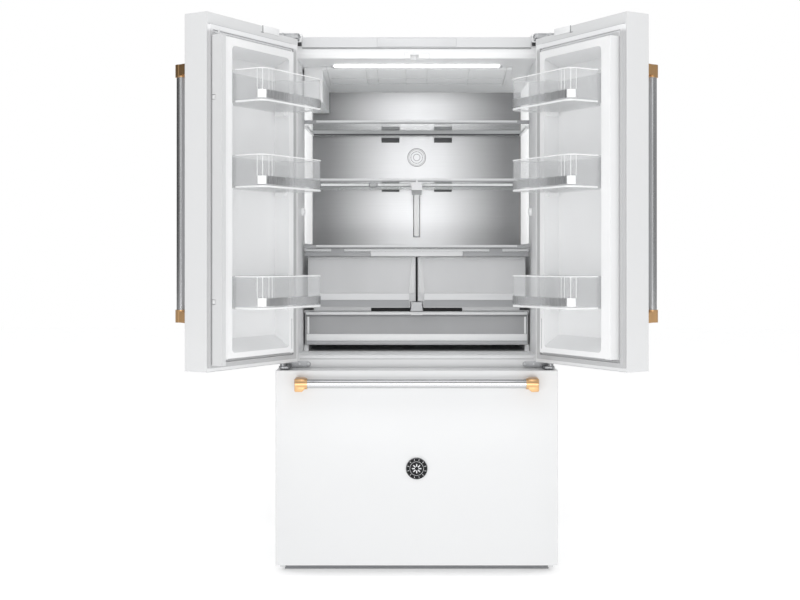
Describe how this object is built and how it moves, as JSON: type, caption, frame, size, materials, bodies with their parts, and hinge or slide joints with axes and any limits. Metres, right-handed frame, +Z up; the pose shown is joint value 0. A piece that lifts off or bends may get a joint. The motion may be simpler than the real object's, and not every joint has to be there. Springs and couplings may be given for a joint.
{
  "type": "french door refrigerator",
  "caption": "French door refrigerator with swing-open upper doors, door bins, glass shelves, crispers and a deli drawer over a bottom freezer drawer, with bar handles on gold brackets.",
  "frame": {"origin": "on the floor under the middle of the whole object with its doors open", "axes": "+Z up, -Y out of the front towards a person at the doors, +X to that person's right"},
  "size_m": [1.4544, 1.091, 1.762],
  "materials": {
    "gloss_white_paint": "gloss white paint",
    "white_plastic": "satin moulded plastic",
    "grey_plastic": "matte moulded plastic",
    "galvanised_steel": "zinc-coated sheet",
    "brushed_steel": "fine brushed grain",
    "brass": "polished warm gold",
    "glass": "tempered, with moulded trims",
    "clear_plastic": "clear and frosted plastic",
    "rubber": "soft magnetic gasket",
    "black_enamel": "black enamel"
  },
  "bodies": {
    "cabinet": {"outer_wrapper": "gloss_white_paint", "back_panel": "galvanised_steel", "fresh_food_liner": "white_plastic", "freezer_liner": "white_plastic", "base_frame": "galvanised_steel", "kick_plate": "grey_plastic", "leveling_foot_left": "black_enamel", "leveling_foot_right": "black_enamel", "top_front_cover": "grey_plastic", "upper_hinge_left": "galvanised_steel", "upper_hinge_right": "galvanised_steel", "lower_hinge_left": "brushed_steel", "lower_hinge_right": "brushed_steel", "rear_wall_panel": "brushed_steel", "water_filter_housing": "white_plastic", "mullion_guide": "white_plastic", "top_shelf": "glass", "half_shelf_left": "glass", "half_shelf_right": "glass", "crisper_cover": "glass", "crisper_shelf": "glass", "slide_outer_left": "galvanised_steel", "slide_outer_right": "galvanised_steel", "compressor": "black_enamel", "machine_cover": "grey_plastic"},
    "left_door": {"door_shell_left": "gloss_white_paint", "door_liner_left": "white_plastic", "door_gasket_left": "rubber", "door_handle_left": "brushed_steel", "door_bracket_left_upper": "brass", "door_bracket_left_lower": "brass", "door_bin_left_top": "clear_plastic", "door_bin_left_middle": "clear_plastic", "door_bin_left_bottom": "clear_plastic"},
    "right_door": {"door_shell_right": "gloss_white_paint", "door_liner_right": "white_plastic", "door_gasket_right": "rubber", "door_handle_right": "brushed_steel", "door_bracket_right_upper": "brass", "door_bracket_right_lower": "brass", "door_bin_right_top": "clear_plastic", "door_bin_right_middle": "clear_plastic", "door_bin_right_bottom": "clear_plastic"},
    "flipper_mullion": {"flipper_mullion": "white_plastic"},
    "freezer_drawer": {"drawer_front": "gloss_white_paint", "drawer_liner": "white_plastic", "drawer_gasket": "rubber", "drawer_handle": "brushed_steel", "drawer_bracket_left": "brass", "drawer_bracket_right": "brass", "slide_inner_left": "galvanised_steel", "slide_inner_right": "galvanised_steel", "freezer_basket": "clear_plastic"},
    "deli_drawer": {"deli_drawer": "clear_plastic"},
    "left_crisper": {"crisper_left": "clear_plastic"},
    "right_crisper": {"crisper_right": "clear_plastic"},
    "left_humidity_slider": {"humidity_slider_left": "white_plastic"},
    "right_humidity_slider": {"humidity_slider_right": "white_plastic"},
    "left_rear_roller": {"rear_roller_left": "black_enamel"},
    "right_rear_roller": {"rear_roller_right": "black_enamel"}
  },
  "joints": [
    {"name": "left_door_hinge", "type": "hinge", "parent": "cabinet", "child": "left_door", "pos_m": [-0.434, -0.1279, 0.693], "axis": [0, 0, -1], "range_deg": [-120.5, 9.5]},
    {"name": "right_door_hinge", "type": "hinge", "parent": "cabinet", "child": "right_door", "pos_m": [0.434, -0.1279, 0.693], "axis": [0, 0, 1], "range_deg": [-120.5, 9.5]},
    {"name": "mullion_flip", "type": "hinge", "parent": "left_door", "child": "flipper_mullion", "pos_m": [-0.59108, -0.52166, 0.714], "axis": [0, 0, 1], "range_deg": [-90, 0]},
    {"name": "freezer_drawer_slide", "type": "slide", "parent": "cabinet", "child": "freezer_drawer", "axis": [0, -1, 0], "range_m": [0, 0.4]},
    {"name": "deli_drawer_slide", "type": "slide", "parent": "cabinet", "child": "deli_drawer", "axis": [0, -1, 0], "range_m": [0, 0.22]},
    {"name": "left_crisper_slide", "type": "slide", "parent": "cabinet", "child": "left_crisper", "axis": [0, -1, 0], "range_m": [0, 0.22]},
    {"name": "right_crisper_slide", "type": "slide", "parent": "cabinet", "child": "right_crisper", "axis": [0, -1, 0], "range_m": [0, 0.22]},
    {"name": "left_humidity_slide", "type": "slide", "parent": "cabinet", "child": "left_humidity_slider", "axis": [1, 0, 0], "range_m": [-0.03, 0.03]},
    {"name": "right_humidity_slide", "type": "slide", "parent": "cabinet", "child": "right_humidity_slider", "axis": [1, 0, 0], "range_m": [-0.03, 0.03]},
    {"name": "left_roller_spin", "type": "hinge", "parent": "cabinet", "child": "left_rear_roller", "pos_m": [-0.416, 0.4611, 0.022], "axis": [1, 0, 0], "continuous": true},
    {"name": "right_roller_spin", "type": "hinge", "parent": "cabinet", "child": "right_rear_roller", "pos_m": [0.416, 0.4611, 0.022], "axis": [1, 0, 0], "continuous": true}
  ]
}
